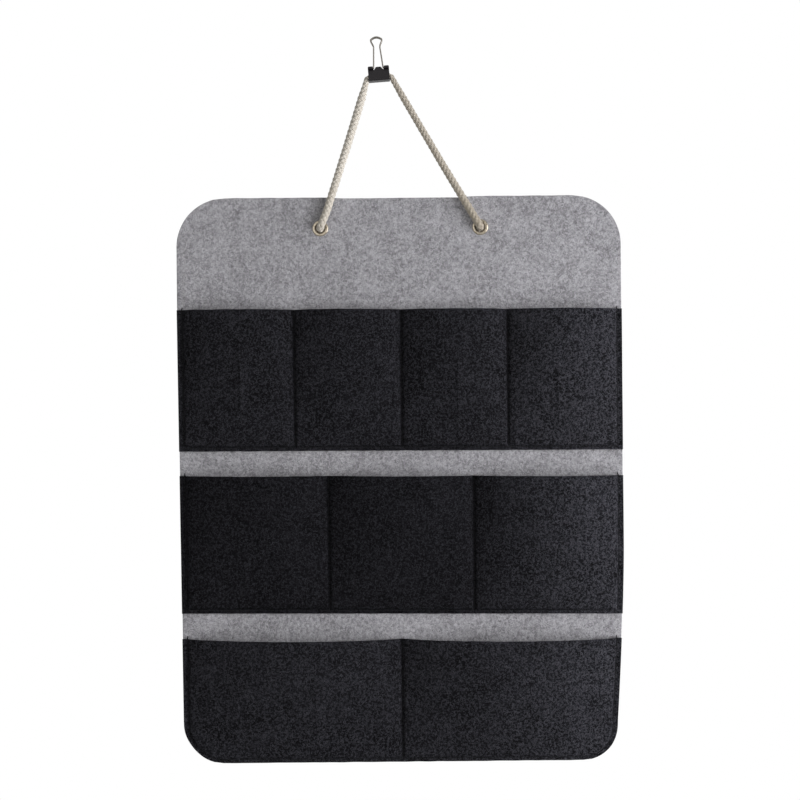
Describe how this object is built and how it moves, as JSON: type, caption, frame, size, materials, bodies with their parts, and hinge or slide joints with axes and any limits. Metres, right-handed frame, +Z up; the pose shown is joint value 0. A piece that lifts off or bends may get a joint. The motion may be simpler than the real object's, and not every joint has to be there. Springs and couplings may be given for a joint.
{
  "type": "hanging pocket organizer",
  "caption": "Flat felt wall organizer with rows of sewn open-topped pockets, hung by a cotton rope through brass eyelets from a binder clip.",
  "frame": {"origin": "the point that the nail holds: the inner top of the binder clip's two wire handle loops, on the clip's middle plane", "axes": "+Z up, -Y forward towards the user, +Y towards the wall, +X to the user's right"},
  "size_m": [0.4, 0.0359, 0.6511],
  "materials": {
    "light_grey_felt": "mottled light grey pressed felt",
    "charcoal_felt": "mottled charcoal pressed felt",
    "sewing_thread": "black polyester thread",
    "eyelet_brass": "pale polished brass plate",
    "cotton_rope": "natural braided cotton",
    "black_clip_steel": "black enamel, semi-gloss",
    "nickel_wire": "nickel-plated spring wire"
  },
  "bodies": {
    "clip": {"clip_body": "black_clip_steel"},
    "front_handle": {"clip_handle_front": "nickel_wire"},
    "rear_handle": {"clip_handle_rear": "nickel_wire"},
    "rope": {"hanging_rope": "cotton_rope"},
    "panel": {"back_panel": "light_grey_felt", "top_pocket_strip": "charcoal_felt", "middle_pocket_strip": "charcoal_felt", "bottom_pocket_strip": "charcoal_felt", "eyelet_left": "eyelet_brass", "eyelet_left_washer": "eyelet_brass", "eyelet_right": "eyelet_brass", "eyelet_right_washer": "eyelet_brass", "rope_knot_left": "cotton_rope", "rope_knot_right": "cotton_rope", "top_edge_seam": "sewing_thread", "top_edge_seam_bobbin": "sewing_thread", "top_divider_seam_1": "sewing_thread", "top_divider_seam_1_bobbin": "sewing_thread", "top_divider_seam_2": "sewing_thread", "top_divider_seam_2_bobbin": "sewing_thread", "top_divider_seam_3": "sewing_thread", "top_divider_seam_3_bobbin": "sewing_thread", "middle_edge_seam": "sewing_thread", "middle_edge_seam_bobbin": "sewing_thread", "middle_divider_seam_1": "sewing_thread", "middle_divider_seam_1_bobbin": "sewing_thread", "middle_divider_seam_2": "sewing_thread", "middle_divider_seam_2_bobbin": "sewing_thread", "bottom_edge_seam": "sewing_thread", "bottom_edge_seam_bobbin": "sewing_thread", "bottom_divider_seam_1": "sewing_thread", "bottom_divider_seam_1_bobbin": "sewing_thread"}
  },
  "joints": [
    {"name": "front_handle_fold", "type": "hinge", "parent": "clip", "child": "front_handle", "pos_m": [0.00187, -0.00155, -0.02673], "axis": [0.9976, 0, 0.0698], "range_deg": [0, 155]},
    {"name": "rear_handle_fold", "type": "hinge", "parent": "clip", "child": "rear_handle", "pos_m": [0.00187, 0.00155, -0.02673], "axis": [-0.9976, 0, -0.0698], "range_deg": [0, 155]},
    {"name": "rope_swing", "type": "hinge", "parent": "clip", "child": "rope", "pos_m": [0.00245, 0, -0.03497], "axis": [-0.9976, 0, -0.0698], "range_deg": [-90, 90]},
    {"name": "panel_swing", "type": "hinge", "parent": "rope", "child": "panel", "pos_m": [0.0203, -0.0014, -0.17], "axis": [-1, 0, 0], "range_deg": [0, 90]}
  ]
}
